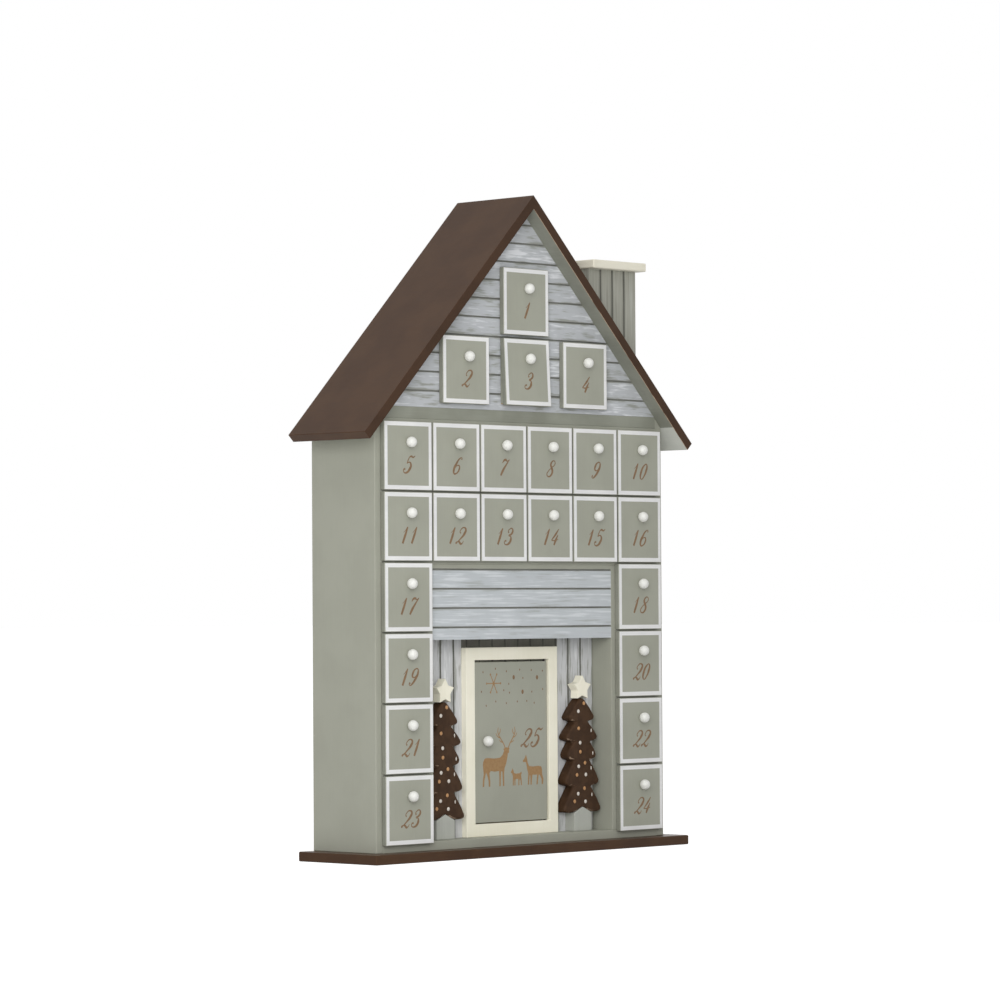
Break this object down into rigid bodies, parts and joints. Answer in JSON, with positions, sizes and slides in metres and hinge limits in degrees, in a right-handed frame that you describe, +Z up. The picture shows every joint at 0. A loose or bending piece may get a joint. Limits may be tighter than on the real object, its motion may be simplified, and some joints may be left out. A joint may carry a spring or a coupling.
{
  "type": "advent calendar",
  "caption": "House-shaped wooden advent calendar with sliding numbered drawers, a hinged door in a porch between fir trees, a pitched roof and a chimney.",
  "frame": {"origin": "centre of the base plate's underside, which rests on a table", "axes": "+X to the right as seen from the front, +Y from the drawer fronts to the back, +Z up to the ridge"},
  "size_m": [0.3252, 0.0746, 0.4501],
  "materials": {
    "grey_paint": "matte paint",
    "brown_stain": "satin paint",
    "whitewash": "dry-brushed matte paint",
    "cream_paint": "matte paint",
    "tree_brown": "matte paint with rubbed edges",
    "bare_wood": "bare sanded wood",
    "bare_board": "bare thin board",
    "pin_steel": "plain"
  },
  "bodies": {
    "house": {"attic_floor": "grey_paint", "attic_guides": "bare_wood", "attic_shelf": "bare_wood", "back_panel": "bare_board", "base_plate": "brown_stain", "chimney_cap": "cream_paint", "chimney_stack": "whitewash", "door_frame": "cream_paint", "floor_board": "grey_paint", "gable_backing": "bare_wood", "gable_clapboards": "whitewash", "hinge_pins": "pin_steel", "left_column_shelves": "grey_paint", "left_column_wall": "grey_paint", "left_wall": "grey_paint", "lintel": "whitewash", "lower_dividers": "grey_paint", "lower_shelf": "grey_paint", "porch_boards": "whitewash", "right_column_shelves": "grey_paint", "right_column_wall": "grey_paint", "right_wall": "grey_paint", "roof_left": "brown_stain", "roof_right": "brown_stain", "star_left": "cream_paint", "star_right": "cream_paint", "top_shelf": "grey_paint", "tree_left": "tree_brown", "tree_right": "tree_brown", "trunk_left": "grey_paint", "trunk_right": "grey_paint", "upper_dividers": "grey_paint", "upper_shelf": "grey_paint"},
    "drawer_01": {"drawer_01": "grey_paint"},
    "drawer_02": {"drawer_02": "grey_paint"},
    "drawer_03": {"drawer_03": "grey_paint"},
    "drawer_04": {"drawer_04": "grey_paint"},
    "drawer_05": {"drawer_05": "grey_paint"},
    "drawer_06": {"drawer_06": "grey_paint"},
    "drawer_07": {"drawer_07": "grey_paint"},
    "drawer_08": {"drawer_08": "grey_paint"},
    "drawer_09": {"drawer_09": "grey_paint"},
    "drawer_10": {"drawer_10": "grey_paint"},
    "drawer_11": {"drawer_11": "grey_paint"},
    "drawer_12": {"drawer_12": "grey_paint"},
    "drawer_13": {"drawer_13": "grey_paint"},
    "drawer_14": {"drawer_14": "grey_paint"},
    "drawer_15": {"drawer_15": "grey_paint"},
    "drawer_16": {"drawer_16": "grey_paint"},
    "drawer_17": {"drawer_17": "grey_paint"},
    "drawer_18": {"drawer_18": "grey_paint"},
    "drawer_19": {"drawer_19": "grey_paint"},
    "drawer_20": {"drawer_20": "grey_paint"},
    "drawer_21": {"drawer_21": "grey_paint"},
    "drawer_22": {"drawer_22": "grey_paint"},
    "drawer_23": {"drawer_23": "grey_paint"},
    "drawer_24": {"drawer_24": "grey_paint"},
    "door": {"door_panel": "grey_paint", "door_knob": "cream_paint"}
  },
  "joints": [
    {"name": "drawer_01_slide", "type": "slide", "parent": "house", "child": "drawer_01", "axis": [0, -1, 0], "range_m": [0, 0.045]},
    {"name": "drawer_02_slide", "type": "slide", "parent": "house", "child": "drawer_02", "axis": [0, -1, 0], "range_m": [0, 0.045]},
    {"name": "drawer_03_slide", "type": "slide", "parent": "house", "child": "drawer_03", "axis": [0, -0.9988, 0.0488], "range_m": [0, 0.045]},
    {"name": "drawer_04_slide", "type": "slide", "parent": "house", "child": "drawer_04", "axis": [0, -1, 0], "range_m": [0, 0.045]},
    {"name": "drawer_05_slide", "type": "slide", "parent": "house", "child": "drawer_05", "axis": [0, -1, 0], "range_m": [0, 0.045]},
    {"name": "drawer_06_slide", "type": "slide", "parent": "house", "child": "drawer_06", "axis": [0, -1, 0], "range_m": [0, 0.045]},
    {"name": "drawer_07_slide", "type": "slide", "parent": "house", "child": "drawer_07", "axis": [0, -1, 0], "range_m": [0, 0.045]},
    {"name": "drawer_08_slide", "type": "slide", "parent": "house", "child": "drawer_08", "axis": [0, -1, 0], "range_m": [0, 0.045]},
    {"name": "drawer_09_slide", "type": "slide", "parent": "house", "child": "drawer_09", "axis": [0, -1, 0], "range_m": [0, 0.045]},
    {"name": "drawer_10_slide", "type": "slide", "parent": "house", "child": "drawer_10", "axis": [0, -1, 0], "range_m": [0, 0.045]},
    {"name": "drawer_11_slide", "type": "slide", "parent": "house", "child": "drawer_11", "axis": [0, -1, 0], "range_m": [0, 0.045]},
    {"name": "drawer_12_slide", "type": "slide", "parent": "house", "child": "drawer_12", "axis": [0, -1, 0], "range_m": [0, 0.045]},
    {"name": "drawer_13_slide", "type": "slide", "parent": "house", "child": "drawer_13", "axis": [0, -1, 0], "range_m": [0, 0.045]},
    {"name": "drawer_14_slide", "type": "slide", "parent": "house", "child": "drawer_14", "axis": [0, -1, 0], "range_m": [0, 0.045]},
    {"name": "drawer_15_slide", "type": "slide", "parent": "house", "child": "drawer_15", "axis": [0, -1, 0], "range_m": [0, 0.045]},
    {"name": "drawer_16_slide", "type": "slide", "parent": "house", "child": "drawer_16", "axis": [0, -1, 0], "range_m": [0, 0.045]},
    {"name": "drawer_17_slide", "type": "slide", "parent": "house", "child": "drawer_17", "axis": [0, -1, 0], "range_m": [0, 0.045]},
    {"name": "drawer_18_slide", "type": "slide", "parent": "house", "child": "drawer_18", "axis": [0, -1, 0], "range_m": [0, 0.045]},
    {"name": "drawer_19_slide", "type": "slide", "parent": "house", "child": "drawer_19", "axis": [0, -1, 0], "range_m": [0, 0.045]},
    {"name": "drawer_20_slide", "type": "slide", "parent": "house", "child": "drawer_20", "axis": [0, -1, 0], "range_m": [0, 0.045]},
    {"name": "drawer_21_slide", "type": "slide", "parent": "house", "child": "drawer_21", "axis": [0, -1, 0], "range_m": [0, 0.045]},
    {"name": "drawer_22_slide", "type": "slide", "parent": "house", "child": "drawer_22", "axis": [0, -1, 0], "range_m": [0, 0.045]},
    {"name": "drawer_23_slide", "type": "slide", "parent": "house", "child": "drawer_23", "axis": [0, -1, 0], "range_m": [0, 0.045]},
    {"name": "drawer_24_slide", "type": "slide", "parent": "house", "child": "drawer_24", "axis": [0, -1, 0], "range_m": [0, 0.045]},
    {"name": "door_hinge", "type": "hinge", "parent": "house", "child": "door", "pos_m": [0.0366, -0.0082, 0.0218], "axis": [0, 0, 1], "range_deg": [0, 90]}
  ]
}
